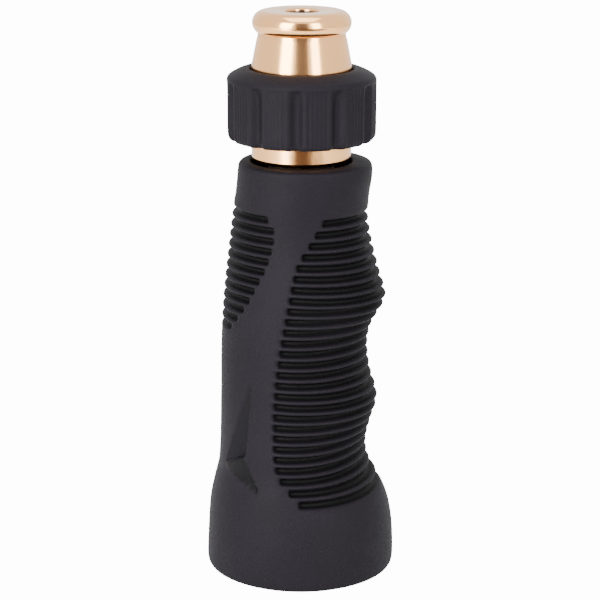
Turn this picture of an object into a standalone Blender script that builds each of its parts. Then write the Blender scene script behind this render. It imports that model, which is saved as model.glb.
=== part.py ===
"""Twist-type hose spray nozzle: a rubber-gripped handle with a brass barrel that screws in and out.

The nozzle stands on its flared base with its axis along +Z and its finger side towards +X.  The
barrel turns on the stem's two-start thread, so it rises 5 mm a turn and opens the gap round the
flow plug.  Sizes below are in millimetres; the meshes are made in metres.
"""
import math

import bmesh
import bpy

MM = 0.001
GAP = 0.3                  # clearance kept between neighbouring pieces

# Grip: radius against height on the finger side (+X), at the sides (+Y, -Y) and on the palm side (-X)
FINGER_PROFILE = [(0, 25.7), (10.9, 25.4), (18.3, 24.0), (23.7, 21.2), (28.7, 17.6), (33.6, 16.8),
                  (40.6, 18.6), (48, 20.8), (55.5, 18.5), (62.5, 17.7), (68.5, 19.0), (76.4, 23.1),
                  (82.5, 21.5), (90.5, 19.2), (98, 17.7), (104.5, 18.2), (108.6, 19.0), (112.4, 18.8)]
SIDE_PROFILE = [(0, 25.7), (10.9, 25.3), (18.3, 24.3), (23.7, 23.0), (29.7, 21.4), (47.5, 20.0), (62.5, 19.1),
                (75.4, 18.3), (89.5, 17.4), (98, 17.4), (104.5, 17.7), (112.4, 17.6)]
PALM_PROFILE = [(0, 25.7), (10.9, 25.2), (18.3, 24.8), (23.7, 23.7), (29.7, 22.4), (47.5, 22.0), (62.5, 21.9),
                (75.4, 21.2), (89.5, 19.6), (98, 18.4), (104.5, 17.2), (112.4, 16.3)]
GRIP_TOP = 112.4
GRIP_BORE = 14.0
RIM_BORE = 13.5            # the rim closes in round the barrel
RIM_DEPTH = 2.5
LIP_ROUND = 0.3
SHOULDER = 0.6             # rounding of the rim's outer edge
MOUTH_RADIUS = 23.3        # hollow under the flared base
MOUTH_NECK = 22.9
MOUTH_DEPTH = 12.0

# Core tube: rigid tube inside the grip
CORE_RADIUS = GRIP_BORE - GAP
CORE_BASE = 27.6
CORE_TOP = 104.0
CORE_BORE = 8.0
SPIGOT_SOCKET = 11.3
SPIGOT_SOCKET_TOP = 38.0
STEM_SOCKET = 10.0
STEM_SOCKET_BASE = 84.5

# Hose coupling: female 3/4 in garden hose thread, 11.5 threads per inch
COUPLING_BASE = 8.0
COUPLING_RADIUS = 16.4
COUPLING_TOP = 27.3
HOSE_THREAD_MINOR = 12.65
HOSE_THREAD_MAJOR = 13.7
HOSE_THREAD_PITCH = 25.4 / 11.5
HOSE_THREAD_TOP = 20.2
WASHER_SEAT = 24.3
WASHER_RECESS = 13.3
WASHER_THICKNESS = 3.0
WASHER_BORE = 8.0
COUPLING_BORE = 7.0
SPIGOT_TOP = 37.5
SPIGOT_RING_Z = 32.5
SPIGOT_GROOVE = 9.1

# Stem: plug in the core tube, hex flange, neck, thread, seal land, ported neck
STEM_BASE = STEM_SOCKET_BASE + GAP
STEM_BORE = 5.0
STEM_BORE_TOP = 137.4
STEM_RING_Z = 90.0
STEM_RING_GROOVE = 7.8
FLANGE_FLATS = 11.0        # half the hex flange's width across its flats
FLANGE_BASE = CORE_TOP + GAP
FLANGE_TOP = 106.8
STEM_NECK = 8.7
STEM_LAND = 8.9
LAND_TOP = 134.0
SEAL_Z = 131.35
SEAL_GROOVE = 7.0
PORT_NECK = 6.0
PORT_Z = 135.8
PORT_RADIUS = 1.3
DRILL_LENGTH = 20.0
STEM_TOP = 138.6
PLUG_HOLE = 2.5

# Barrel thread: two starts, 5 mm of travel a turn, the same wave on the stem and in the barrel
THREAD_LEAD = 5.0
THREAD_STARTS = 2
THREAD_DEPTH = 0.5         # half the height of the wave
STEM_THREAD_MEAN = 9.5
STEM_THREAD_SPAN = (117.9, 122.6)
BARREL_THREAD_MEAN = STEM_THREAD_MEAN + GAP
BARREL_THREAD_SPAN = (116.3, 127.7)
ROWS_PER_PITCH = 4

# Barrel
BARREL_BASE = 113.2
BARREL_RADIUS = 13.1
BARREL_MOUTH = 10.4
BARREL_BORE = 9.2
BORE_TOP = 139.5
CLIP_Z = 114.9
CLIP_GROOVE = 10.95
CLIP_RADIUS = 9.9
CLIP_WIRE = 0.7
ORIFICE_RADIUS = 4.2
ORIFICE_BASE = 147.5
ORIFICE_TOP = 151.1
BEAD_CENTRE = (9.8, 148.5)
BEAD_RADIUS = 3.1

# Flow plug
PLUG_BASE = 136.2
PLUG_SHANK = 2.2
PLUG_FLANGE = 4.3
PLUG_GROOVE = 3.2
PLUG_RING_Z = 140.4
PLUG_RING_WIRE = 0.75
PLUG_NOSE = 3.4
PLUG_TOP = 148.6

# Twist ring
COLLAR_BASE = 117.9
COLLAR_TOP = 136.7
COLLAR_RADIUS = 19.6
COLLAR_BORE = BARREL_RADIUS + GAP
COLLAR_GROUPS = 11
SCALLOP_DEPTH = 0.9
SCALLOP_TOP = 132.0

# Segments round the axis
GRIP_SEGMENTS = 40
BRASS_SEGMENTS = 36
TUBE_SEGMENTS = 32
RING_SEGMENTS = 24
COLLAR_SEGMENTS = COLLAR_GROUPS * 5

SKIN = 99.0                # a profile radius that the grip's own surface replaces

BRASS = ("brass", (0.62, 0.40, 0.26), 0.28, 1.0)
RUBBER = ("rubber", (0.045, 0.040, 0.046), 0.55, 0.0)
SEAL_RUBBER = ("seal_rubber", (0.02, 0.02, 0.02), 0.6, 0.0)
NYLON = ("nylon", (0.10, 0.10, 0.11), 0.5, 0.0)
STEEL = ("spring_steel", (0.56, 0.57, 0.58), 0.3, 1.0)


def clear_scene():
    for item in list(bpy.data.objects):
        bpy.data.objects.remove(item, do_unlink=True)


def make_material(name, finish):
    label, colour, roughness, metallic = finish
    material = bpy.data.materials.new(f"{label}_{name}")
    material.use_nodes = True
    shader = material.node_tree.nodes["Principled BSDF"]
    shader.inputs["Base Color"].default_value = (*colour, 1.0)
    shader.inputs["Roughness"].default_value = roughness
    shader.inputs["Metallic"].default_value = metallic
    return material


def make_frame(name, height, parent):
    """An empty on the nozzle's axis that carries the pieces of one moving body."""
    frame = bpy.data.objects.new(name, None)
    frame.empty_display_size = 0.02
    bpy.context.collection.objects.link(frame)
    place(frame, height, parent)
    return frame


def place(item, height, parent):
    """Stand an object on the axis at a height given in the nozzle's own frame."""
    below = parent["height"] if parent else 0.0
    item["height"] = height
    item.parent = parent
    item.location = (0.0, 0.0, (height - below) * MM)


def smooth_value(profile, z):
    """Read a (height, radius) outline at height z along a curve through its points."""
    last = len(profile) - 2
    index = min(max(sum(1 for height, _ in profile if height <= z) - 1, 0), last)
    (z0, r0), (z1, r1) = profile[index], profile[index + 1]
    before = profile[max(index - 1, 0)]
    after = profile[min(index + 2, last + 1)]
    slope0 = (r1 - before[1]) / (z1 - before[0])
    slope1 = (after[1] - r0) / (after[0] - z0)
    span = z1 - z0
    t = min(max((z - z0) / span, 0.0), 1.0)
    return ((2 * t**3 - 3 * t**2 + 1) * r0 + (t**3 - 2 * t**2 + t) * span * slope0
            + (3 * t**2 - 2 * t**3) * r1 + (t**3 - t**2) * span * slope1)


def grip_radius(angle, z):
    """Radius of the grip's smooth outer surface at an angle from +X and a height."""
    side = smooth_value(SIDE_PROFILE, z)
    facing = FINGER_PROFILE if math.cos(angle) > 0 else PALM_PROFILE
    return side + (smooth_value(facing, z) - side) * math.cos(angle) ** 2


def thread_wave(angle, z, lead, starts):
    return math.cos(starts * (angle - 2 * math.pi * z / lead))


def thread_rows(span, pitch):
    """Heights of the rings that carry a thread, evenly spread over its span."""
    count = math.ceil((span[1] - span[0]) / pitch * ROWS_PER_PITCH)
    return [span[0] + (span[1] - span[0]) * row / count for row in range(count + 1)]


def run_out(z, span, length):
    """1 along a thread, falling to 0 at its two ends."""
    return min(max(min(z - span[0], span[1] - z) / length, 0.0), 1.0)


def male_thread(mean, depth, wave, fade):
    """Radius of an outside thread, which runs out into its root."""
    return mean - depth + depth * (1 + wave) * fade


def female_thread(mean, depth, wave, fade):
    """Radius of an inside thread, which runs out into its root."""
    return mean + depth - depth * (1 - wave) * fade


def arc(centre, radius, start, stop, steps):
    """Points of an arc in the (radius, height) plane, angles in degrees."""
    angles = [math.radians(start + (stop - start) * step / steps) for step in range(steps + 1)]
    return [(centre[0] + radius * math.cos(a), centre[1] + radius * math.sin(a)) for a in angles]


def turned(name, finish, parent, profile, segments, shape=None, sweep=360.0):
    """Spin a (radius, height) profile about the axis and optionally reshape its rings.

    A profile that starts on the axis ends there too and makes a solid; any other is joined end to
    end and makes a ring.  shape(radius, angle, height) gives each point's new radius.  Less than a
    full sweep leaves two flat ends.
    """
    base = min(z for _, z in profile)
    mesh = bpy.data.meshes.new(name)
    work = bmesh.new()
    points = [work.verts.new((r * MM, 0.0, (z - base) * MM)) for r, z in profile]
    following = points[1:] if profile[0][0] == 0 else points[1:] + points[:1]
    edges = [work.edges.new(pair) for pair in zip(points, following)]
    full = sweep == 360.0
    bmesh.ops.spin(work, geom=points + edges, cent=(0, 0, 0), axis=(0, 0, 1), angle=math.radians(sweep),
                   steps=segments, use_merge=full)
    bmesh.ops.remove_doubles(work, verts=work.verts, dist=1e-7)
    if not full:
        bmesh.ops.holes_fill(work, edges=work.edges, sides=0)
    if shape:
        for vertex in work.verts:
            radius = math.hypot(vertex.co.x, vertex.co.y)
            angle = math.atan2(vertex.co.y, vertex.co.x)
            scale = shape(radius / MM, angle, vertex.co.z / MM + base) * MM / radius
            vertex.co.x *= scale
            vertex.co.y *= scale
    bmesh.ops.recalc_face_normals(work, faces=work.faces)
    work.to_mesh(mesh)
    work.free()
    mesh.shade_smooth()
    mesh.set_sharp_from_angle(angle=math.radians(35))
    item = bpy.data.objects.new(name, mesh)
    bpy.context.collection.objects.link(item)
    mesh.materials.append(make_material(name, finish))
    place(item, base, parent)
    return item


def o_ring(name, parent, groove, wall, height):
    """Rubber ring that fills a groove out to the wall it seals on, less the clearance."""
    wire = (wall - groove) / 2 - GAP
    section = arc(((wall + groove) / 2, height), wire, 0, 360, 8)[:-1]
    return turned(name, SEAL_RUBBER, parent, section, RING_SEGMENTS)


def groove_points(outer, floor, height, half_width):
    """Profile points of a square ring groove, from below to above."""
    return [(outer, height - half_width), (floor, height - half_width),
            (floor, height + half_width), (outer, height + half_width)]


def cut_round_hole(item, name, radius, height, turn):
    """Drill straight through a piece, across the axis."""
    bpy.ops.mesh.primitive_cylinder_add(vertices=12, radius=radius * MM, depth=DRILL_LENGTH * MM,
                                        location=(0, 0, height * MM),
                                        rotation=(math.pi / 2, 0, turn))
    drill = bpy.context.active_object
    drill.name = name
    drill.hide_render = True
    drill.display_type = 'WIRE'
    cut = item.modifiers.new(name, 'BOOLEAN')
    cut.operation = 'DIFFERENCE'
    cut.solver = 'EXACT'
    cut.object = drill


def build_grip(parent):
    def skin(radius, angle, z):
        if radius < SKIN - 1:
            return radius
        return grip_radius(angle, z) if z < GRIP_TOP else grip_radius(angle, z) - SHOULDER

    heights = ([0.0, 6.0, 11.5, 16.0] + [20.0 + 2.4 * step for step in range(34)]
               + [102.5, 106.0, 109.0, GRIP_TOP - SHOULDER, GRIP_TOP])
    profile = [(SKIN, z) for z in heights]
    profile += [(RIM_BORE + LIP_ROUND, GRIP_TOP), (RIM_BORE, GRIP_TOP - LIP_ROUND),
                (RIM_BORE, GRIP_TOP - RIM_DEPTH), (GRIP_BORE, GRIP_TOP - RIM_DEPTH - 0.5), (GRIP_BORE, 66.0),
                (GRIP_BORE, CORE_BASE), (COUPLING_RADIUS + GAP, CORE_BASE),
                (COUPLING_RADIUS + GAP, MOUTH_DEPTH + 1.5), (MOUTH_NECK, MOUTH_DEPTH), (MOUTH_RADIUS, 0.0)]
    return turned("grip_sleeve", RUBBER, parent, profile, GRIP_SEGMENTS, skin)


def build_core(parent):
    profile = [(CORE_RADIUS, CORE_BASE + GAP), (CORE_RADIUS, 62.0), (CORE_RADIUS, CORE_TOP - 0.6),
               (CORE_RADIUS - 0.6, CORE_TOP), (STEM_SOCKET + 0.5, CORE_TOP), (STEM_SOCKET, CORE_TOP - 0.5),
               (STEM_SOCKET, STEM_SOCKET_BASE), (CORE_BORE, STEM_SOCKET_BASE),
               (CORE_BORE, SPIGOT_SOCKET_TOP), (SPIGOT_SOCKET, SPIGOT_SOCKET_TOP),
               (SPIGOT_SOCKET, CORE_BASE + GAP)]
    return turned("core_tube", NYLON, parent, profile, TUBE_SEGMENTS)


def build_coupling(parent):
    span = (COUPLING_BASE + 1.0, HOSE_THREAD_TOP)
    mean = (HOSE_THREAD_MINOR + HOSE_THREAD_MAJOR) / 2
    depth = (HOSE_THREAD_MAJOR - HOSE_THREAD_MINOR) / 2

    def thread(radius, angle, z):
        if abs(radius - mean) > 0.001:
            return radius
        wave = thread_wave(angle, z, HOSE_THREAD_PITCH, 1)
        return female_thread(mean, depth, wave, run_out(z, span, HOSE_THREAD_PITCH / 2))

    spigot = SPIGOT_SOCKET - GAP
    ring_half = (SPIGOT_SOCKET - SPIGOT_GROOVE) / 2
    profile = [(COUPLING_RADIUS - 1.0, COUPLING_BASE), (COUPLING_RADIUS, COUPLING_BASE + 1.0),
               (COUPLING_RADIUS, COUPLING_TOP), (spigot, COUPLING_TOP)]
    profile += groove_points(spigot, SPIGOT_GROOVE, SPIGOT_RING_Z, ring_half)
    profile += [(spigot, SPIGOT_TOP - 0.8), (spigot - 0.8, SPIGOT_TOP), (COUPLING_BORE, SPIGOT_TOP),
                (COUPLING_BORE, WASHER_SEAT), (WASHER_RECESS, WASHER_SEAT),
                (WASHER_RECESS, HOSE_THREAD_TOP + 0.5)]
    profile += [(mean, z) for z in reversed(thread_rows(span, HOSE_THREAD_PITCH))]
    profile += [(HOSE_THREAD_MAJOR + 0.6, COUPLING_BASE)]
    return turned("hose_coupling", BRASS, parent, profile, TUBE_SEGMENTS, thread)


def build_washer(parent):
    top = WASHER_SEAT - GAP
    base = top - WASHER_THICKNESS
    outer = WASHER_RECESS - GAP
    profile = [(outer, base), (outer, top), (WASHER_BORE, top), (WASHER_BORE, base)]
    return turned("hose_washer", SEAL_RUBBER, parent, profile, RING_SEGMENTS)


def build_stem(parent):
    plug = STEM_SOCKET - GAP
    ring_half = (STEM_SOCKET - STEM_RING_GROOVE) / 2
    seal_half = (BARREL_BORE - SEAL_GROOVE) / 2

    def section(radius, angle, z):
        if abs(radius - FLANGE_FLATS) < 0.001:
            return FLANGE_FLATS / math.cos((angle + math.pi / 6) % (math.pi / 3) - math.pi / 6)
        if abs(radius - STEM_THREAD_MEAN) < 0.001:
            wave = thread_wave(angle, z, THREAD_LEAD, THREAD_STARTS)
            return male_thread(STEM_THREAD_MEAN, THREAD_DEPTH, wave, run_out(z, STEM_THREAD_SPAN, 0.8))
        return radius

    profile = [(plug - 0.8, STEM_BASE), (plug, STEM_BASE + 0.8)]
    profile += groove_points(plug, STEM_RING_GROOVE, STEM_RING_Z, ring_half)
    profile += [(plug, FLANGE_BASE), (FLANGE_FLATS, FLANGE_BASE), (FLANGE_FLATS, FLANGE_TOP),
                (STEM_NECK, FLANGE_TOP), (STEM_NECK, STEM_THREAD_SPAN[0] - 0.05)]
    profile += [(STEM_THREAD_MEAN, z)
                for z in thread_rows(STEM_THREAD_SPAN, THREAD_LEAD / THREAD_STARTS)]
    profile += [(STEM_LAND, STEM_THREAD_SPAN[1] + 0.35)]
    profile += groove_points(STEM_LAND, SEAL_GROOVE, SEAL_Z, seal_half)
    profile += [(STEM_LAND, LAND_TOP - 0.4), (STEM_LAND - 0.4, LAND_TOP), (PORT_NECK, LAND_TOP),
                (PORT_NECK, STEM_TOP), (PLUG_HOLE, STEM_TOP), (PLUG_HOLE, STEM_BORE_TOP),
                (STEM_BORE, STEM_BORE_TOP), (STEM_BORE, 112.0), (STEM_BORE, STEM_BASE)]
    stem = turned("stem", BRASS, parent, profile, BRASS_SEGMENTS, section)
    cut_round_hole(stem, "port_drill_x", PORT_RADIUS, PORT_Z, math.pi / 2)
    cut_round_hole(stem, "port_drill_y", PORT_RADIUS, PORT_Z, 0.0)
    return stem


def build_plug(parent):
    half = PLUG_RING_WIRE + GAP
    flange_base = STEM_TOP + GAP
    profile = [(0, PLUG_BASE), (PLUG_SHANK, PLUG_BASE), (PLUG_SHANK, flange_base),
               (PLUG_FLANGE, flange_base)]
    profile += groove_points(PLUG_FLANGE, PLUG_GROOVE, PLUG_RING_Z, half)
    profile += [(3.7, 142.6), (PLUG_NOSE, 145.0), (PLUG_NOSE, PLUG_TOP - 0.8),
                (PLUG_NOSE - 0.8, PLUG_TOP), (0, PLUG_TOP)]
    return turned("flow_plug", BRASS, parent, profile, RING_SEGMENTS)


def build_barrel(parent):
    def thread(radius, angle, z):
        if abs(radius - BARREL_THREAD_MEAN) > 0.001:
            return radius
        wave = thread_wave(angle, z, THREAD_LEAD, THREAD_STARTS)
        fade = run_out(z, BARREL_THREAD_SPAN, 0.8)
        return female_thread(BARREL_THREAD_MEAN, THREAD_DEPTH, wave, fade)

    clip_half = CLIP_WIRE + GAP
    profile = [(BARREL_RADIUS - 0.7, BARREL_BASE), (BARREL_RADIUS, BARREL_BASE + 0.7),
               (BARREL_RADIUS, 137.3), (11.7, 144.1), (11.5, 145.1)]
    profile += arc(BEAD_CENTRE, BEAD_RADIUS, -58, 90, 8)
    profile += [(7.0, 151.5), (ORIFICE_RADIUS + 0.4, ORIFICE_TOP + 0.25), (ORIFICE_RADIUS, ORIFICE_TOP),
                (ORIFICE_RADIUS, ORIFICE_BASE), (BARREL_BORE, BORE_TOP),
                (BARREL_BORE, BARREL_THREAD_SPAN[1] + 0.4)]
    profile += [(BARREL_THREAD_MEAN, z)
                for z in reversed(thread_rows(BARREL_THREAD_SPAN, THREAD_LEAD / THREAD_STARTS))]
    profile += reversed(groove_points(BARREL_MOUTH, CLIP_GROOVE, CLIP_Z, clip_half))
    profile += [(BARREL_MOUTH, BARREL_BASE)]
    return turned("barrel", BRASS, parent, profile, BRASS_SEGMENTS, thread)


def build_clip(parent):
    """Split spring ring: a round wire bent to a circle, open over 24 degrees."""
    section = arc((CLIP_RADIUS, CLIP_Z), CLIP_WIRE, 0, 360, 8)[:-1]
    return turned("retaining_clip", STEEL, parent, section, RING_SEGMENTS, sweep=336.0)


def build_collar(parent):
    def scallops(radius, angle, z):
        if radius < COLLAR_RADIUS - 2.0 or z > SCALLOP_TOP:
            return radius
        turn = angle * COLLAR_GROUPS / (2 * math.pi)
        nearness = abs(turn - round(turn))
        return radius - SCALLOP_DEPTH * (1.0 if nearness < 0.1 else 0.0)

    profile = [(COLLAR_RADIUS - 1.2, COLLAR_BASE), (COLLAR_RADIUS, COLLAR_BASE + 1.2),
               (COLLAR_RADIUS, 125.0), (COLLAR_RADIUS, SCALLOP_TOP), (COLLAR_RADIUS, SCALLOP_TOP + 1.0)]
    profile += arc((COLLAR_RADIUS - 3.6, COLLAR_TOP - 3.6), 3.6, 0, 90, 5)
    profile += [(COLLAR_BORE, COLLAR_TOP), (COLLAR_BORE, COLLAR_BASE)]
    return turned("twist_ring", RUBBER, parent, profile, COLLAR_SEGMENTS, scallops)


def main():
    clear_scene()
    handle = make_frame("handle_frame", 0.0, None)
    slider = make_frame("slider_frame", BARREL_BASE, handle)
    barrel = make_frame("barrel_frame", BARREL_BASE, slider)

    build_grip(handle)
    build_core(handle)
    build_coupling(handle)
    build_washer(handle)
    build_stem(handle)
    build_plug(handle)
    o_ring("coupling_oring", handle, SPIGOT_GROOVE, SPIGOT_SOCKET, SPIGOT_RING_Z)
    o_ring("stem_base_oring", handle, STEM_RING_GROOVE, STEM_SOCKET, STEM_RING_Z)
    o_ring("stem_seal_oring", handle, SEAL_GROOVE, BARREL_BORE, SEAL_Z)
    o_ring("plug_oring", handle, PLUG_GROOVE, PLUG_GROOVE + 2 * (PLUG_RING_WIRE + GAP), PLUG_RING_Z)
    build_clip(slider)
    build_barrel(barrel)
    build_collar(barrel)


main()
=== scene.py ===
# %% [markdown]
# # A twist nozzle for a garden hose
#
# The nozzle stands on its flared rubber base.  A brass barrel screws along a stem inside the grip, and
# a rubber collar on the barrel gives the fingers something to turn.  This lesson models the surfaces
# that show: the ribbed grip, the collar, the polished barrel and the parts seen through its openings.
# The engineering model comes in first as a fixed frame, and every new piece rides on one of its bodies.

# %% Load the frame
import math

import bpy
from mathutils import Euler, Matrix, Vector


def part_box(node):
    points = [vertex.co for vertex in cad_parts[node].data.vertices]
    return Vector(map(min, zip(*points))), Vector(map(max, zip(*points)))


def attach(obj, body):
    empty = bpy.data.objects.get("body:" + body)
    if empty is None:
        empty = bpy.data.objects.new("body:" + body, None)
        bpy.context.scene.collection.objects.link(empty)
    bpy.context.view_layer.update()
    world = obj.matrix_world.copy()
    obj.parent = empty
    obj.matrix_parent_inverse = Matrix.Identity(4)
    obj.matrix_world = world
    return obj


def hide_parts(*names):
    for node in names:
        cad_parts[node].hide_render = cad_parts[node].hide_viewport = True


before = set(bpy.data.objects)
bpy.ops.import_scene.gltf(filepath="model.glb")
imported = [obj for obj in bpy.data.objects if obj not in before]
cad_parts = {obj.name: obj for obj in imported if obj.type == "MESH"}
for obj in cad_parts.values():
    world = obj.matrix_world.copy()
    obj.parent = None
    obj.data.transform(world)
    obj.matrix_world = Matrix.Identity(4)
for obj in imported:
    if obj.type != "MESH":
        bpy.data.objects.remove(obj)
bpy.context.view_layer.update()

MM = 0.001

# %% [markdown]
# ## Small helpers
#
# By hand, a turned piece starts as a circle that is extruded upwards and scaled at each step, until
# its outline is complete and its two open edges are bridged.  `raise_rings` does those same steps for
# a list of (radius, height) points in millimetres.  Everything is deselected before each new
# primitive, because an operator acts on all that is selected.

# %% Raise a turned shape ring by ring


def raise_rings(name, outline, sides, joined=True):
    """Extrude and scale a circle along (radius, height) points; joined bridges the last ring to the first."""
    bpy.ops.object.select_all(action="DESELECT")
    radius, height = outline[0]
    bpy.ops.mesh.primitive_circle_add(vertices=sides, radius=radius * MM, location=(0, 0, height * MM))
    piece = bpy.context.object
    piece.name = name
    piece.data.name = name
    bpy.ops.object.mode_set(mode="EDIT")
    bpy.ops.mesh.select_mode(type="EDGE")
    bpy.ops.mesh.select_all(action="SELECT")
    for new_radius, new_height in outline[1:]:
        bpy.ops.mesh.extrude_edges_move(TRANSFORM_OT_translate={"value": (0, 0, (new_height - height) * MM)})
        grow = new_radius / radius
        bpy.ops.transform.resize(value=(grow, grow, 1), center_override=(0, 0, new_height * MM))
        radius, height = new_radius, new_height
    bpy.ops.mesh.select_all(action="DESELECT")
    bpy.ops.mesh.select_non_manifold()
    if joined:
        bpy.ops.mesh.bridge_edge_loops()
    else:
        bpy.ops.mesh.edge_face_add()
    bpy.ops.mesh.select_all(action="SELECT")
    bpy.ops.mesh.normals_make_consistent(inside=False)
    bpy.ops.object.mode_set(mode="OBJECT")
    bpy.ops.object.transform_apply(location=True, rotation=True, scale=True)
    return piece


def arc(radius, height, size, start, stop, steps):
    """Points of an arc round (radius, height), from one angle to another in degrees."""
    angles = [math.radians(start + (stop - start) * step / steps) for step in range(steps + 1)]
    return [(radius + size * math.cos(a), height + size * math.sin(a)) for a in angles]


def select_only(piece):
    """Select one piece and make it active, so that the next operator acts on it alone."""
    bpy.ops.object.select_all(action="DESELECT")
    piece.select_set(True)
    bpy.context.view_layer.objects.active = piece


def smooth_shading(piece, angle):
    select_only(piece)
    bpy.ops.object.shade_smooth_by_angle(angle=math.radians(angle))


def round_off(piece, levels):
    """Subdivide a piece smoothly and keep the result."""
    select_only(piece)
    finer = piece.modifiers.new("Subdivision", "SUBSURF")
    finer.levels = levels
    finer.render_levels = levels
    bpy.ops.object.modifier_apply(modifier=finer.name)


def place_in_frame(piece, body, slot, *nodes):
    """Ride on a body and stand for CAD nodes; slot, the finish's name, is not used."""
    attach(piece, body)
    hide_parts(*nodes)
    faces = len(piece.data.polygons)
    print(f"{piece.name}: {faces} faces, rides on {body}, stands for {', '.join(nodes)}")


def smooth_value(points, place):
    """Read a curve through (place, value) points, lowest place first."""
    last = len(points) - 2
    index = min(max(sum(1 for where, _ in points if where <= place) - 1, 0), last)
    (p0, v0), (p1, v1) = points[index], points[index + 1]
    before = points[max(index - 1, 0)]
    after = points[min(index + 2, last + 1)]
    slope0 = (v1 - before[1]) / (p1 - before[0])
    slope1 = (after[1] - v0) / (after[0] - p0)
    span = p1 - p0
    t = min(max((place - p0) / span, 0.0), 1.0)
    return ((2 * t**3 - 3 * t**2 + 1) * v0 + (t**3 - 2 * t**2 + t) * span * slope0
            + (3 * t**2 - 2 * t**3) * v1 + (t**3 - t**2) * span * slope1)


def ease(value, low, high):
    """0 below low, 1 above high, with a soft step between them."""
    t = min(max((value - low) / (high - low), 0.0), 1.0)
    return t * t * (3 - 2 * t)


# %% [markdown]
# ## The grip's outline
#
# The moulded rubber grip is round at its base and at its rim, and between them it swells under two
# fingers on one side while the palm side stays nearly straight.  Three outlines hold that shape: one
# down the finger side, one down the flanks and one down the palm side, with an even blend between.

# %% Outlines of the grip
FINGER_SIDE = [(0, 25.7), (10.9, 25.4), (18.3, 24.0), (23.7, 21.2), (28.7, 17.6), (33.6, 16.8), (40.6, 18.6),
               (48, 20.8), (55.5, 18.5), (62.5, 17.7), (68.5, 19.0), (76.4, 23.1), (82.5, 21.5), (90.5, 19.2),
               (98, 17.7), (104.5, 18.2), (108.6, 19.0), (112.4, 18.8)]
FLANK = [(0, 25.7), (10.9, 25.3), (18.3, 24.3), (23.7, 23.0), (29.7, 21.4), (47.5, 20.0), (62.5, 19.1),
         (75.4, 18.3), (89.5, 17.4), (98, 17.4), (104.5, 17.7), (112.4, 17.6)]
PALM_SIDE = [(0, 25.7), (10.9, 25.2), (18.3, 24.8), (23.7, 23.7), (29.7, 22.4), (47.5, 22.0), (62.5, 21.9),
             (75.4, 21.2), (89.5, 19.6), (98, 18.4), (104.5, 17.2), (112.4, 16.3)]
GRIP_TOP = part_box("grip_sleeve")[1][2] / MM


def grip_radius(angle, height):
    """Radius of the grip's smooth surface at an angle from the finger side, in radians."""
    flank = smooth_value(FLANK, height)
    facing = FINGER_SIDE if math.cos(angle) > 0 else PALM_SIDE
    return flank + (smooth_value(facing, height) - flank) * math.cos(angle) ** 2


print(f"grip: {GRIP_TOP:.1f} mm tall, {2 * grip_radius(0, 0):.1f} mm across its base")

# %% [markdown]
# ## Where the ribbed panels end
#
# Two panels carry the ribs: a tall one under the fingers and a tongue in the palm, with a smooth band
# running down between them.  Grooves end on the panel's edge, so the mesh gets a column of edges that
# follows each panel edge.  The tube is raised with even columns, and then every ring is turned and
# squeezed so that a fixed column lies on the edge.  Angles are degrees from the finger side.

# %% Panel edges
COLUMNS = 144
PANEL_COLUMNS = 31          # columns from the finger side's middle to the finger panel's edge
BAND_COLUMNS = 12           # columns across the smooth band
COLUMN_STEP = 360 / COLUMNS
EVEN_PANEL = PANEL_COLUMNS * COLUMN_STEP
EVEN_TONGUE = 180 - (PANEL_COLUMNS + BAND_COLUMNS) * COLUMN_STEP

FINGER_EDGE = [(6, EVEN_PANEL), (17.8, 68), (24.1, 66.3), (27.9, 76.6), (31.2, 82.8), (35.6, 85.6),
               (41.6, 86.5), (49.5, 86.8), (58.5, 85.1), (67.1, 81.4), (75.8, 76.8), (81.7, 73.5),
               (88, 68.2), (92.3, 59.7), (95.6, 53.3), (99, 46.0), (102.5, 50), (109.6, EVEN_PANEL)]
TONGUE_EDGE = [(39.6, EVEN_TONGUE), (51.5, 50), (59.5, 40), (65.5, 43), (68.8, 51.7), (73.8, 64.2),
               (79.7, 74.3), (85.3, 83.4), (90.7, 88.9), (93.7, 90.6), (96.6, 90.0), (99.5, 83),
               (103.5, 76), (109.6, EVEN_TONGUE)]

GROOVE_TOP = 98.7           # middle of the highest groove under the fingers
GROOVE_PITCH = 2.879
GROOVE_COUNT = 27
TONGUE_GROOVES = 12
GROOVE_WIDTH = 1.84
GROOVE_DEPTH = 2.0
GROOVE_SLOPE = 0.2          # how far a groove's wall leans in


def groove_middle(height):
    """The middle of the groove that a height lies in or on the edge of, else the height itself."""
    middle = GROOVE_TOP - round((GROOVE_TOP - height) / GROOVE_PITCH) * GROOVE_PITCH
    return middle if abs(middle - height) < 0.6 * GROOVE_WIDTH else height


def panel_angle(even, height):
    """Turn an even column angle into the one that follows the panel edges at this height."""
    size = abs(even)
    height = groove_middle(height)
    finger = smooth_value(FINGER_EDGE, height)
    tongue = smooth_value(TONGUE_EDGE, height)
    if size <= EVEN_PANEL:
        turned = size / EVEN_PANEL * finger
    elif size <= 180 - EVEN_TONGUE:
        across = (size - EVEN_PANEL) / (180 - EVEN_TONGUE - EVEN_PANEL)
        turned = finger + across * (180 - tongue - finger)
    else:
        turned = 180 - (180 - size) / EVEN_TONGUE * tongue
    return math.copysign(turned, even)


def tongue_lift(even, height):
    """The palm grooves lie a little higher than the finger grooves, more so towards the bottom."""
    across = ease(abs(even), EVEN_PANEL, 180 - EVEN_TONGUE)
    lift = 0.65 + 0.03 * (GROOVE_TOP - height)
    return across * lift * ease(height, 40, 66) * (1 - ease(height, 102, 108))


# %% [markdown]
# ## Raising the grip
#
# The tube's rings sit on both edges of every groove and on the crest of every rib.  A second round of
# rings carries the rim, the bore and the hollow under the base.  Once the tube stands, its outer
# points are moved to the outline, which is the work of a sculpting session written as a rule.

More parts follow.
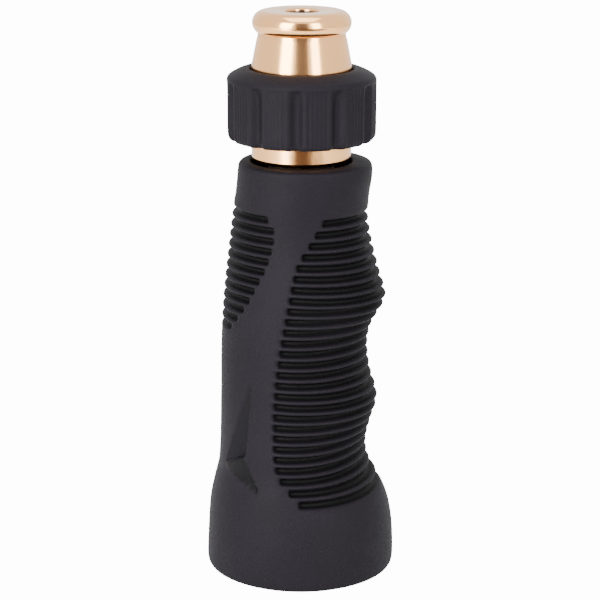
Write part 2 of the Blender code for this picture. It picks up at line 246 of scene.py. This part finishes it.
# %% Raise the plain tube
OUTER = 30.0                # radius of the plain tube before it is shaped
groove_middles = [GROOVE_TOP - GROOVE_PITCH * step for step in range(GROOVE_COUNT)]
levels = [0.0, 0.5, 2.0, 5.0, 9.0, 13.0, 16.5, 19.0, 21.2]
for middle in reversed(groove_middles):
    levels += [middle - GROOVE_WIDTH / 2, middle + GROOVE_WIDTH / 2, middle + GROOVE_PITCH / 2]
levels += [102.5, 105.0, 107.5, 109.6, 111.2, 111.8, GRIP_TOP]
EDGE_ROUND = {0.0: 0.8, 0.5: 0.25, 111.8: 0.15, GRIP_TOP: 0.7}

RIM_BORE = 13.5             # the rim closes in round the barrel
TUBE_BORE = 14.0
COUPLING_BORE = 16.7
SHELF = 22.6                # where the bore widens; the coupling runs on above it, inside the rubber

bore = [(14.0, GRIP_TOP), (13.6, GRIP_TOP - 0.1), (RIM_BORE, GRIP_TOP - 0.4), (RIM_BORE, GRIP_TOP - 2.5),
        (TUBE_BORE, GRIP_TOP - 3.0), (TUBE_BORE, 106.0), (TUBE_BORE, 90.0), (TUBE_BORE, 60.0),
        (TUBE_BORE, 23.2), (TUBE_BORE, SHELF), (14.6, SHELF), (16.1, SHELF), (COUPLING_BORE, SHELF),
        (COUPLING_BORE, 22.0), (COUPLING_BORE, 14.2), (COUPLING_BORE, 13.6), (17.2, 13.4),
        (22.5, 12.1), (22.9, 11.6), (23.1, 0.5), (23.3, 0.0)]
grip = raise_rings("ribbed_grip", [(OUTER, level) for level in levels] + bore, COLUMNS)
print(f"plain tube: {len(levels)} outer rings of {COLUMNS} columns, {len(grip.data.polygons)} faces")

# %% Choose the groove faces while the tube is plain


def even_angle(place):
    return math.degrees(math.atan2(place.y, place.x))


def in_groove(face):
    """True for a face of the plain tube that lies in a finger groove or in a palm groove."""
    if math.hypot(face.center.x, face.center.y) < 0.98 * OUTER * MM:
        return False
    step = (GROOVE_TOP - face.center.z / MM) / GROOVE_PITCH
    number = round(step)
    if abs(step - number) * GROOVE_PITCH > 0.1 or not 0 <= number < GROOVE_COUNT:
        return False
    size = abs(even_angle(face.center))
    return size < EVEN_PANEL or (size > 180 - EVEN_TONGUE and number < TONGUE_GROOVES)


groove_faces = [face.index for face in grip.data.polygons if in_groove(face)]
print(f"{len(groove_faces)} faces lie in {GROOVE_COUNT} finger grooves and {TONGUE_GROOVES} palm grooves")

# %% Shape the tube
RIB_RISE = 0.12             # the crest of a rib stands this much above the smooth surface


def rib_crest(even, level):
    """How far a point is a rib's crest: 1 on the crest line inside a panel, else 0."""
    step = (GROOVE_TOP - level) / GROOVE_PITCH + 0.5
    number = round(step)
    if abs(step - number) > 0.02 or not 0 <= number <= GROOVE_COUNT:
        return 0
    size = abs(even)
    return int(size < EVEN_PANEL - 1 or (size > 181 - EVEN_TONGUE and number <= TONGUE_GROOVES))


for point in grip.data.vertices:
    if math.hypot(point.co.x, point.co.y) < 0.9 * OUTER * MM:
        continue
    level = point.co.z / MM
    even = even_angle(point.co)
    height = level + tongue_lift(even, level)
    angle = math.radians(panel_angle(even, level))
    radius = grip_radius(angle, height) + RIB_RISE * rib_crest(even, level)
    radius -= next((cut for edge, cut in EDGE_ROUND.items() if abs(edge - level) < 0.01), 0)
    point.co = (radius * math.cos(angle) * MM, radius * math.sin(angle) * MM, height * MM)
grip.data.update()
widest = max(point.co.x for point in grip.data.vertices) / MM
print("grip shaped, widest", round(widest, 1), "mm from its axis")

# %% [markdown]
# ## Cutting the grooves
#
# The groove faces are picked again and inset as strips: the inset's thickness makes the sloping wall
# and its depth sinks the floor.  One level of subdivision then rounds ribs and groove ends as the
# mould does.

# %% Inset the grooves
select_only(grip)
bpy.ops.object.mode_set(mode="EDIT")
bpy.ops.mesh.select_mode(type="FACE")
bpy.ops.mesh.select_all(action="DESELECT")
bpy.ops.object.mode_set(mode="OBJECT")
for index in groove_faces:
    grip.data.polygons[index].select = True
bpy.ops.object.mode_set(mode="EDIT")
bpy.ops.mesh.inset(thickness=GROOVE_SLOPE * MM, depth=-GROOVE_DEPTH * MM)
bpy.ops.object.mode_set(mode="OBJECT")
round_off(grip, 1)
print("grip after the cuts:", len(grip.data.polygons), "faces")

# %% [markdown]
# ## The dart in the flank
#
# Low on each flank, just above the flare, the mould leaves a dart: a long shallow facet that sinks
# towards a small ledge, and a shorter facet below the ledge.  Its corners are given as (angle,
# height, depth), and each facet is a triangle whose depth is blended between its corners.
#
# Light hardly reaches the floor of a groove, so the grip also carries a value of painted shade: 0 on the
# smooth surface, 1 on a groove's floor and something between on the facets.  The rubber's colour
# darkens by it, so the shade in the grooves and on the facets is painted.

# %% Note how much shade to paint on each point
PAINTED_SHADE_START = 0.3          # mm below the smooth surface where the value starts to rise
PAINTED_SHADE_RISE = 0.6 * GROOVE_DEPTH
GROOVED_SPAN = (20, 106)    # heights that hold every groove
GROOVED_RADIUS = 14.4       # leaves the bore out
# painted shade: 0 on the smooth surface, rising to 1 on a groove's floor, where the rubber is painted darker
painted_shade = grip.data.attributes.new("painted_shade", "FLOAT", "POINT")
for point in grip.data.vertices:
    away = math.hypot(point.co.x, point.co.y)
    level = point.co.z / MM
    if GROOVED_SPAN[0] < level < GROOVED_SPAN[1] and away > GROOVED_RADIUS * MM:
        gone = grip_radius(math.atan2(point.co.y, point.co.x), level) - away / MM
        painted_shade.data[point.index].value = min(max((gone - PAINTED_SHADE_START) / PAINTED_SHADE_RISE, 0), 1)

# %% Sink the darts
DART_FACETS = [
    [(106.7, 56.1, 0.0), (132.6, 31.1, 0.2), (109.5, 34.8, 2.4)],
    [(132.6, 30.8, -0.35), (109.5, 34.5, -0.6), (95.6, 25.6, 1.2)],
]
# painted shade of the two facets: the upper one a little darker, the lower one, which faces down, much darker
DART_PAINTED_SHADE = (0.45, 0.85)
DART_SPAN = (25, 57)        # heights that hold both facets
DART_RADIUS = 17            # leaves the bore out


def facet_depth(corners, angle, height):
    """Depth inside a three-cornered facet, or None outside it."""
    (a0, h0, d0), (a1, h1, d1), (a2, h2, d2) = corners
    area = (a1 - a0) * (h2 - h0) - (a2 - a0) * (h1 - h0)
    share1 = ((angle - a0) * (h2 - h0) - (a2 - a0) * (height - h0)) / area
    share2 = ((a1 - a0) * (height - h0) - (angle - a0) * (h1 - h0)) / area
    share0 = 1 - share1 - share2
    if min(share0, share1, share2) < 0:
        return None
    return share0 * d0 + share1 * d1 + share2 * d2


sunk = 0
for point in grip.data.vertices:
    radius = math.hypot(point.co.x, point.co.y)
    height = point.co.z / MM
    if not DART_SPAN[0] < height < DART_SPAN[1] or radius < DART_RADIUS * MM:
        continue
    size = abs(even_angle(point.co))
    for corners, tone in zip(DART_FACETS, DART_PAINTED_SHADE):
        depth = facet_depth(corners, size, height)
        if depth is not None:
            scale = 1 - depth * MM / radius
            point.co.x *= scale
            point.co.y *= scale
            # paint the facet's shade
            painted_shade.data[point.index].value = tone
            sunk += 1
            break
grip.data.update()
print("points moved in the darts:", sunk)
smooth_shading(grip, 60)
place_in_frame(grip, "handle", "grip_rubber", "grip_sleeve")

# %% [markdown]
# ## The twist collar
#
# The collar is a thick rubber ring with a sloping shoulder.  Eleven scallops run up its side, and fine
# upright ribs fill the space between them.  Its ring has twenty columns to each scallop: seven are
# pressed in for it, the next on either side is level, and the other eleven alternate as six ribs with
# five valleys between them.

# %% Raise the collar
COLLAR_GROUPS = 11
GROUP_COLUMNS = 20
COLLAR_LOW, COLLAR_HIGH = [corner[2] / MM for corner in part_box("twist_ring")]
COLLAR_RADIUS = 19.6
COLLAR_BORE = 13.4
PATTERN_TOP = 133.4

collar_outline = [(COLLAR_BORE + 0.4, COLLAR_LOW), (16.8, COLLAR_LOW), (18.1, COLLAR_LOW),
                  (18.8, COLLAR_LOW + 0.3), (19.4, COLLAR_LOW + 0.9), (COLLAR_RADIUS, COLLAR_LOW + 1.8),
                  (COLLAR_RADIUS, 123.0), (COLLAR_RADIUS, 126.5), (COLLAR_RADIUS, 129.5),
                  (COLLAR_RADIUS, 131.8), (COLLAR_RADIUS, PATTERN_TOP)]
collar_outline += arc(COLLAR_RADIUS - 1.7, COLLAR_HIGH - 3.1, 1.7, 0, 62, 5)
collar_outline += [(17.4, COLLAR_HIGH - 0.85), (16.2, COLLAR_HIGH - 0.35), (15.3, COLLAR_HIGH - 0.05),
                   (14.6, COLLAR_HIGH), (COLLAR_BORE + 0.3, COLLAR_HIGH), (COLLAR_BORE, COLLAR_HIGH - 0.4),
                   (COLLAR_BORE, 128.0), (COLLAR_BORE, COLLAR_LOW + 0.4)]
collar = raise_rings("twist_collar", collar_outline, COLLAR_GROUPS * GROUP_COLUMNS)

# %% Press the scallops and ribs
COLLAR_TURN = -69.0         # degrees that bring one scallop to face the front, a little to the left
SCALLOP_STEPS = {0: 1.5, 1: 1.35, 2: 0.9, 3: 0.3, 4: 0.0}
RIB_VALLEY = 0.5


def column_depth(column):
    """Depth of a column of the collar's pattern, counted from the middle of a scallop."""
    place = column % GROUP_COLUMNS
    place = min(place, GROUP_COLUMNS - place)
    if place in SCALLOP_STEPS:
        return SCALLOP_STEPS[place]
    return RIB_VALLEY if place % 2 == 0 else 0.0


for point in collar.data.vertices:
    radius = math.hypot(point.co.x, point.co.y) / MM
    height = point.co.z / MM
    column = round(even_angle(point.co) / 360 * COLLAR_GROUPS * GROUP_COLUMNS)
    if radius < 18.0 or height > PATTERN_TOP + 0.1:
        continue
    fade = 1 - 0.6 * ease(height, 131.0, PATTERN_TOP + 0.8)
    scale = 1 - column_depth(column) * fade / radius
    point.co.x *= scale
    point.co.y *= scale
collar.data.transform(Matrix.Rotation(math.radians(COLLAR_TURN), 4, "Z"))
round_off(collar, 1)
smooth_shading(collar, 60)
place_in_frame(collar, "barrel", "grip_rubber", "twist_ring")

# %% [markdown]
# ## The brass barrel
#
# The barrel is turned from brass: a chamfered skirt, a straight length under the collar, a cone, a
# narrow groove and a round bead whose nearly flat face turns down into the spray orifice.  Inside it
# has a wider bore that clears the stem's thread, a smooth bore for the sealing ring and a cone that
# the plug closes on.  The orifice's wall carries the painted shade value too, which paints shade into it.

# %% Raise the barrel
SKIRT_LOW = 112.4
BARREL_RADIUS = 13.1
ORIFICE_RADIUS = 4.2
ORIFICE_LOW = 147.5
SEAL_BORE = 9.2
THREAD_BORE = 10.3          # clears the stem's thread
CLIP_GROOVE = 10.95

barrel_outline = [(10.4, SKIRT_LOW), (12.1, SKIRT_LOW), (12.35, SKIRT_LOW + 0.1),
                  (12.55, SKIRT_LOW + 0.45), (12.85, SKIRT_LOW + 1.0), (BARREL_RADIUS, SKIRT_LOW + 1.15),
                  (BARREL_RADIUS, SKIRT_LOW + 1.4), (BARREL_RADIUS, 120.0), (BARREL_RADIUS, 130.0),
                  (BARREL_RADIUS, 137.0), (13.05, 137.6), (11.8, 144.0), (11.6, 144.7), (11.5, 145.0),
                  (11.5, 145.35)]
barrel_outline += arc(9.8, 148.5, 3.12, -58, 90, 20)
barrel_outline += [(8.8, 151.61), (7.4, 151.6), (6.0, 151.57), (5.0, 151.52), (4.6, 151.4), (4.3, 151.2),
                   (ORIFICE_RADIUS, 150.8), (ORIFICE_RADIUS, ORIFICE_LOW), (SEAL_BORE, 139.5),
                   (SEAL_BORE, 128.1), (THREAD_BORE, 127.7), (THREAD_BORE, 116.2),
                   (CLIP_GROOVE, 115.9), (CLIP_GROOVE, 113.9), (10.4, 113.9)]
barrel = raise_rings("brass_barrel", barrel_outline, 128)
# painted shade: the orifice's wall is painted dark where shade falls inside the hole
painted_shade = barrel.data.attributes.new("painted_shade", "FLOAT", "POINT")
for point in barrel.data.vertices:
    inside = math.hypot(point.co.x, point.co.y) < (ORIFICE_RADIUS + 0.05) * MM
    painted_shade.data[point.index].value = 1.0 if inside else 0.0
smooth_shading(barrel, 32)
place_in_frame(barrel, "barrel", "brass", "barrel")

# %% [markdown]
# ## The flow plug
#
# Through the orifice the rounded nose of the plug shows.  It screws into the stem and carries the
# rubber ring that shuts the water off.

# %% Raise the plug
plug_low, plug_high = [corner[2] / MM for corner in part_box("flow_plug")]
plug_outline = [(1.8, plug_low), (2.2, plug_low + 0.4), (2.2, 138.9), (4.2, 138.9), (4.3, 139.0),
                (4.3, 139.35), (3.2, 139.35), (3.2, 141.45), (4.3, 141.45), (4.2, 141.7), (3.7, 142.6),
                (3.4, 145.0), (3.4, plug_high - 0.8)]
plug_outline += arc(2.6, plug_high - 0.8, 0.8, 15, 90, 5)
plug_outline += [(0.9, plug_high), (0.7, plug_high - 0.5)]
plug = raise_rings("plug_nose", plug_outline, 64, joined=False)
smooth_shading(plug, 32)
place_in_frame(plug, "handle", "brass", "flow_plug")

# %% [markdown]
# ## The hose end
#
# Under the base a brass coupling is set back inside the flare.  Its coarse thread takes the hose, and
# a flat rubber washer lies at the thread's end.  The thread is made on the raised tube by pressing
# each point in or out by how far round the helix it is.

# %% Raise the coupling
HOSE_PITCH = 25.4 / 11.5
HOSE_MEAN = 13.175
HOSE_DEPTH = 0.525
THREAD_LOW, THREAD_HIGH = 9.0, 20.2
THREAD_RINGS = 40
RUN_OUT = 1.1               # mm over which the thread fades at either end
CREST_FLATNESS = 1.35       # above 1, crests and roots are flat
coupling_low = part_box("hose_coupling")[0][2] / MM

coupling_outline = [(15.2, coupling_low), (15.7, coupling_low + 0.1), (16.25, coupling_low + 0.6),
                    (16.4, coupling_low + 1.2), (16.4, 27.0), (16.1, 27.3), (11.0, 27.3), (11.0, 31.4),
                    (9.1, 31.4), (9.1, 33.6), (11.0, 33.6), (11.0, 36.7), (10.2, 37.5), (7.3, 37.5),
                    (7.0, 37.2), (7.0, 24.3), (13.3, 24.3), (13.3, 20.7)]
coupling_outline += [(HOSE_MEAN, THREAD_HIGH - (THREAD_HIGH - THREAD_LOW) * step / THREAD_RINGS)
                     for step in range(THREAD_RINGS + 1)]
coupling_outline += [(14.0, coupling_low + 0.3), (14.4, coupling_low)]
coupling = raise_rings("threaded_coupling", coupling_outline, 128)

# %% Press the thread into it
for point in coupling.data.vertices:
    radius = math.hypot(point.co.x, point.co.y) / MM
    height = point.co.z / MM
    if abs(radius - HOSE_MEAN) > 0.01 or not THREAD_LOW - 0.01 < height < THREAD_HIGH + 0.01:
        continue
    turn = math.atan2(point.co.y, point.co.x) - 2 * math.pi * height / HOSE_PITCH
    wave = min(max(CREST_FLATNESS * math.cos(turn), -1), 1)
    strength = min(max(min(height - THREAD_LOW, THREAD_HIGH - height) / RUN_OUT, 0), 1)
    pressed = HOSE_MEAN + HOSE_DEPTH - HOSE_DEPTH * (1 - wave) * strength
    point.co.x *= pressed / radius
    point.co.y *= pressed / radius
coupling.data.update()
smooth_shading(coupling, 40)
place_in_frame(coupling, "handle", "brass", "hose_coupling")

# %% Raise the washer
washer_low, washer_high = [corner[2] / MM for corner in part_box("hose_washer")]
washer_outline = [(8.3, washer_low), (12.7, washer_low)]
washer_outline += arc(12.7, washer_low + 0.3, 0.3, -60, 0, 3) + arc(12.7, washer_high - 0.3, 0.3, 0, 60, 3)
washer_outline += [(12.7, washer_high), (8.3, washer_high)]
washer_outline += arc(8.3, washer_high - 0.3, 0.3, 120, 180, 3) + arc(8.3, washer_low + 0.3, 0.3, 180, 240, 3)
washer = raise_rings("flat_washer", washer_outline, 96)
smooth_shading(washer, 40)
place_in_frame(washer, "handle", "seal_rubber", "hose_washer")

# %% [markdown]
# ## Floor, light and camera
#
# A pale floor and two large soft lights at the sides give the rubber its broad sheen and the brass
# its bright upright bands, and a third light fills from above.  A dark card stands behind the camera,
# and the barrel's cone shows it as the brown streak down its middle.  The upright skirt mirrors the
# floor instead, so a dark and a bright card lie there.  The camera itself sees a plain white floor and
# surround, while everything else sees them pale.

# %% Set the stage
CAMERA_TURN = 25.0
CAMERA_DISTANCE = 0.5172
CAMERA_HEIGHT = 0.2174
CAMERA_TILT = 15.5
CAMERA_ROLL = 0.2
CAMERA_LENS = 120.0
CAMERA_SHIFT = -0.0015
LIGHT_AIM = 0.08            # height in metres that the soft lights point at
SIDE_REACH = 0.9            # distance in metres of the side lights

bpy.ops.object.select_all(action="DESELECT")
bpy.ops.mesh.primitive_plane_add(size=4, location=(0, 0, 0))
floor = bpy.context.object
floor.name = "floor"


def stage_place(turn, distance, height):
    """A place round the nozzle: degrees from the camera's side, positive to the camera's right."""
    a = math.radians(CAMERA_TURN + turn)
    return (distance * math.sin(a), -distance * math.cos(a), height)


def soft_light(name, turn, distance, height, width, tall, power, diffuse=1.0):
    """A rectangular soft light that faces the nozzle; diffuse scales what it adds to matt surfaces."""
    lamp = bpy.data.lights.new(name, "AREA")
    lamp.shape = "RECTANGLE"
    lamp.size = width
    lamp.size_y = tall
    lamp.energy = power
    light = bpy.data.objects.new(name, lamp)
    lamp.diffuse_factor = diffuse
    bpy.context.scene.collection.objects.link(light)
    light.location = stage_place(turn, distance, height)
    facing = light.location.copy()
    facing.z -= LIGHT_AIM
    light.rotation_euler = facing.to_track_quat("Z", "Y").to_euler()
    print(f"{name}: {width} by {tall} m, {power} W")


soft_light("left_softbox", -37, SIDE_REACH, 0.35, 0.44, 0.9, 24, 1.5)
soft_light("right_softbox", 33.5, SIDE_REACH, 0.35, 0.30, 0.9, 12, 0.35)
soft_light("top_softbox", 0, 0.15, 1.1, 0.8, 0.8, 8)

# %% Stand a dark card behind the camera


def only_in_reflections(piece):
    piece.visible_camera = False
    piece.visible_shadow = False
    piece.visible_diffuse = False


bpy.ops.object.select_all(action="DESELECT")
bpy.ops.mesh.primitive_plane_add(size=1, location=stage_place(0, 0.8, 0.3),
                                 rotation=(math.radians(90), 0, math.radians(CAMERA_TURN)))
card = bpy.context.object
card.name = "dark_card"
card.scale = (0.44, 1.0, 1)
only_in_reflections(card)
print(card.name, "stands", round(card.location.length, 2), "m from the nozzle's foot")

# %% Lay two cards low in front


def low_card(name, turn, distance, wide, deep):
    """A card that lies just above the floor, seen only in reflections."""
    bpy.ops.object.select_all(action="DESELECT")
    bpy.ops.mesh.primitive_plane_add(size=1, location=stage_place(turn, distance, 0.004),
                                     rotation=(0, 0, math.radians(CAMERA_TURN + turn)))
    flat = bpy.context.object
    flat.name = name
    flat.scale = (wide, deep, 1)
    only_in_reflections(flat)
    return flat


low_dark = low_card("low_dark_card", 12, 0.53, 0.66, 0.56)
low_bright = low_card("low_bright_card", -37, 0.53, 0.15, 0.50)
print("low cards:", low_dark.name, "and", low_bright.name)

# %% Show the camera plain white
WHITE_STRENGTH = 14


def white_surround(nodes, output, shader):
    """Show a shader to everything except the camera, which sees plain white."""
    path = nodes.new("ShaderNodeLightPath")
    seen = nodes.new("ShaderNodeEmission" if output.bl_idname == "ShaderNodeOutputMaterial"
                     else "ShaderNodeBackground")
    seen.inputs["Strength"].default_value = WHITE_STRENGTH
    mix = nodes.new("ShaderNodeMixShader")
    links = nodes.id_data.links
    links.new(path.outputs["Is Camera Ray"], mix.inputs["Fac"])
    links.new(shader.outputs[0], mix.inputs[1])
    links.new(seen.outputs[0], mix.inputs[2])
    links.new(mix.outputs[0], output.inputs["Surface"])


# %% Light the surroundings and place the camera
ROOM_GLOW = 1.9
world = bpy.data.worlds.new("studio")
bpy.context.scene.world = world
world.use_nodes = True
glow = world.node_tree.nodes["Background"]
glow.inputs["Color"].default_value = (1.0, 1.0, 1.0, 1)
glow.inputs["Strength"].default_value = ROOM_GLOW
white_surround(world.node_tree.nodes, world.node_tree.nodes["World Output"], glow)

camera_data = bpy.data.cameras.new("camera")
camera_data.lens = CAMERA_LENS
camera_data.shift_x = CAMERA_SHIFT
camera = bpy.data.objects.new("camera", camera_data)
bpy.context.scene.collection.objects.link(camera)
camera.location = stage_place(0, CAMERA_DISTANCE, CAMERA_HEIGHT)
upright = Euler((math.radians(90 - CAMERA_TILT), 0, math.radians(CAMERA_TURN))).to_matrix()
camera.rotation_euler = (upright @ Matrix.Rotation(math.radians(CAMERA_ROLL), 3, "Z")).to_euler()
bpy.context.scene.camera = camera
print("camera:", CAMERA_LENS, "mm lens,", CAMERA_DISTANCE, "m away, tilted", CAMERA_TILT, "degrees")

# %% [markdown]
# ## Finishes
#
# Every finish starts from a Principled shader.  Three effects are shared, so each is a node group that
# is built once: grain, which is the fine tooth of moulded rubber and plastic; mottle, which is the
# slow change of tone over a handled surface; and turning marks, the faint rings a lathe tool leaves.
# All three read Object coordinates, so they stay on the piece when it turns.  Rubber and polished
# brass also darken where a piece carries a painted shade value, and that darkening is painted shade.

# %% Node group helpers


def new_group(name, inputs, outputs):
    """Make a shader node group with float inputs {name: value} and float outputs."""
    group = bpy.data.node_groups.new(name, "ShaderNodeTree")
    for label, value in inputs.items():
        socket = group.interface.new_socket(name=label, in_out="INPUT", socket_type="NodeSocketFloat")
        socket.default_value = value
    for label in outputs:
        group.interface.new_socket(name=label, in_out="OUTPUT", socket_type="NodeSocketFloat")
    return group, group.nodes.new("NodeGroupInput"), group.nodes.new("NodeGroupOutput")


def object_place(nodes):
    return nodes.new("ShaderNodeTexCoord").outputs["Object"]


def stretch(nodes, value, low, high):
    """Spread a noise value between two limits to a full 0 to 1."""
    spread = nodes.new("ShaderNodeMapRange")
    spread.inputs["From Min"].default_value = low
    spread.inputs["From Max"].default_value = high
    nodes.id_data.links.new(value, spread.inputs["Value"])
    return spread.outputs["Result"]


# %% Grain
grain, start, end = new_group("grain", {"Scale": 3000.0}, ["Height"])
tooth = grain.nodes.new("ShaderNodeTexNoise")
tooth.inputs["Detail"].default_value = 3
grain.links.new(object_place(grain.nodes), tooth.inputs["Vector"])
grain.links.new(start.outputs["Scale"], tooth.inputs["Scale"])
grain.links.new(stretch(grain.nodes, tooth.outputs["Fac"], 0.3, 0.7), end.inputs["Height"])

# %% Mottle
mottle, start, end = new_group("mottle", {"Scale": 40.0}, ["Mask"])
patches = mottle.nodes.new("ShaderNodeTexNoise")
patches.inputs["Detail"].default_value = 5
patches.inputs["Roughness"].default_value = 0.6
mottle.links.new(object_place(mottle.nodes), patches.inputs["Vector"])
mottle.links.new(start.outputs["Scale"], patches.inputs["Scale"])
mottle.links.new(stretch(mottle.nodes, patches.outputs["Fac"], 0.3, 0.7), end.inputs["Mask"])

# %% Turning marks
marks, start, end = new_group("turning_marks", {"Rings per metre": 4000.0}, ["Height"])
squeeze = marks.nodes.new("ShaderNodeSeparateXYZ")
rings = marks.nodes.new("ShaderNodeTexNoise")
rings.noise_dimensions = "1D"
rings.inputs["Detail"].default_value = 2
marks.links.new(object_place(marks.nodes), squeeze.inputs["Vector"])
marks.links.new(squeeze.outputs["Z"], rings.inputs["W"])
marks.links.new(start.outputs["Rings per metre"], rings.inputs["Scale"])
marks.links.new(stretch(marks.nodes, rings.outputs["Fac"], 0.3, 0.7), end.inputs["Height"])
print("node groups:", [group.name for group in bpy.data.node_groups])

# %% Build a finish from its colours and effects


def finish(name, colours, roughness, patch, surface, rise, metallic=0.0, specular=0.5, painted_shade_colour=None):
    """A material whose colour and roughness drift between two values, with a bump from a surface effect.

    colours and roughness are (plain, worn) pairs, patch is the scale of the drift, surface is
    (group, input name, value), rise is the bump's height in metres, and the shade colour is painted
    shade: what the colour turns to where the piece carries a painted shade value.
    """
    material = bpy.data.materials.new(name)
    material.use_nodes = True
    nodes, links = material.node_tree.nodes, material.node_tree.links
    shader = nodes["Principled BSDF"]
    shader.inputs["Metallic"].default_value = metallic
    shader.inputs["Specular IOR Level"].default_value = specular

    drift = nodes.new("ShaderNodeGroup")
    drift.node_tree = mottle
    drift.inputs["Scale"].default_value = patch
    tone = nodes.new("ShaderNodeMix")
    tone.data_type = "RGBA"
    tone.inputs["A"].default_value = (*colours[0], 1)
    tone.inputs["B"].default_value = (*colours[1], 1)
    links.new(drift.outputs["Mask"], tone.inputs["Factor"])
    colour = tone.outputs["Result"]
    # painted shade: where the piece carries a painted shade value, its colour turns to the shade colour
    if painted_shade_colour:
        place = nodes.new("ShaderNodeAttribute")
        place.attribute_name = "painted_shade"
        painted_shade_tone = nodes.new("ShaderNodeMix")
        painted_shade_tone.data_type = "RGBA"
        painted_shade_tone.inputs["B"].default_value = (*painted_shade_colour, 1)
        links.new(place.outputs["Fac"], painted_shade_tone.inputs["Factor"])
        links.new(colour, painted_shade_tone.inputs["A"])
        colour = painted_shade_tone.outputs["Result"]
    links.new(colour, shader.inputs["Base Color"])
    polish = nodes.new("ShaderNodeMapRange")
    polish.inputs["To Min"].default_value, polish.inputs["To Max"].default_value = roughness
    links.new(drift.outputs["Mask"], polish.inputs["Value"])
    links.new(polish.outputs["Result"], shader.inputs["Roughness"])

    texture = nodes.new("ShaderNodeGroup")
    texture.node_tree = surface[0]
    texture.inputs[surface[1]].default_value = surface[2]
    bump = nodes.new("ShaderNodeBump")
    bump.inputs["Distance"].default_value = rise
    links.new(texture.outputs["Height"], bump.inputs["Height"])
    links.new(bump.outputs["Normal"], shader.inputs["Normal"])
    return material


# %% Rubber, brass, nylon and steel
# painted shade: the rubber and the polished brass turn to their last colours in the grooves, the dart facets
# and the orifice
rubber = finish("moulded_rubber", [(0.0041, 0.0031, 0.0054), (0.0034, 0.0026, 0.0043)], (0.60, 0.70),
                specular=0.10, painted_shade_colour=(0.0003, 0.0002, 0.0004), patch=35,
                surface=(grain, "Scale", 2600), rise=0.00002)
polished_brass = finish("polished_brass", [(0.90, 0.465, 0.175), (0.86, 0.45, 0.185)], (0.13, 0.20),
                        metallic=1.0, painted_shade_colour=(0.10, 0.075, 0.06), patch=90,
                        surface=(marks, "Rings per metre", 5000), rise=0.0000015)
turned_brass = finish("turned_brass", [(0.78, 0.44, 0.17), (0.62, 0.33, 0.13)], (0.22, 0.34), metallic=1.0,
                      patch=120, surface=(marks, "Rings per metre", 2500), rise=0.000008)
# painted shade: brass painted nearly black, standing in for the shade on the plug inside the orifice and on
# the stem under the barrel; the high roughness is their own dull finish
painted_shade_brass = finish("painted_shade_brass", [(0.11, 0.08, 0.06), (0.08, 0.06, 0.045)], (0.75, 0.9), metallic=1.0,
                    patch=150, surface=(marks, "Rings per metre", 2500), rise=0.00001)
seal_rubber = finish("seal_rubber", [(0.010, 0.010, 0.010), (0.016, 0.016, 0.016)], (0.5, 0.62),
                     specular=0.35, patch=150, surface=(grain, "Scale", 3500), rise=0.00002)
nylon = finish("black_nylon", [(0.020, 0.020, 0.022), (0.026, 0.026, 0.028)], (0.38, 0.5),
               patch=80, surface=(grain, "Scale", 1800), rise=0.00003)
spring_steel = finish("spring_steel", [(0.52, 0.53, 0.54), (0.42, 0.43, 0.44)], (0.2, 0.32), metallic=1.0,
                      patch=200, surface=(marks, "Rings per metre", 6000), rise=0.000003)

# %% Floor and card finishes
CARD_GLOW = 9

pale = finish("pale_floor", [(0.80, 0.80, 0.80), (0.78, 0.78, 0.78)], (0.6, 0.7), patch=3,
              surface=(grain, "Scale", 200), rise=0.0001)
white_surround(pale.node_tree.nodes, pale.node_tree.nodes["Material Output"],
               pale.node_tree.nodes["Principled BSDF"])
dark = finish("dark_card", [(0.085, 0.08, 0.095), (0.075, 0.07, 0.085)], (0.8, 0.9), specular=0.1, patch=5,
              surface=(grain, "Scale", 300), rise=0.0001)
umber = finish("umber_card", [(0.030, 0.016, 0.012), (0.024, 0.013, 0.010)], (0.8, 0.9), specular=0.1,
               patch=5, surface=(grain, "Scale", 300), rise=0.0001)
bright = finish("bright_card", [(0.9, 0.9, 0.9), (0.85, 0.85, 0.85)], (0.8, 0.9), patch=5,
                surface=(grain, "Scale", 300), rise=0.0001)
lit = bright.node_tree.nodes["Principled BSDF"]
lit.inputs["Emission Color"].default_value = (1, 1, 1, 1)
lit.inputs["Emission Strength"].default_value = CARD_GLOW

# %% Paint every piece and every CAD node that still shows


def paint(piece, material):
    piece.data.materials.clear()
    piece.data.materials.append(material)


for piece, material in [(grip, rubber), (collar, rubber), (barrel, polished_brass), (plug, painted_shade_brass),
                        (coupling, turned_brass), (washer, seal_rubber), (floor, pale), (card, dark),
                        (low_dark, umber), (low_bright, bright)]:
    paint(piece, material)
# the stem takes the brass painted dark as shade
kept_nodes = {"stem": painted_shade_brass, "core_tube": nylon, "retaining_clip": spring_steel,
              "coupling_oring": seal_rubber, "stem_base_oring": seal_rubber,
              "stem_seal_oring": seal_rubber, "plug_oring": seal_rubber}
for node, material in kept_nodes.items():
    paint(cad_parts[node], material)
print("CAD nodes painted:", ", ".join(kept_nodes))
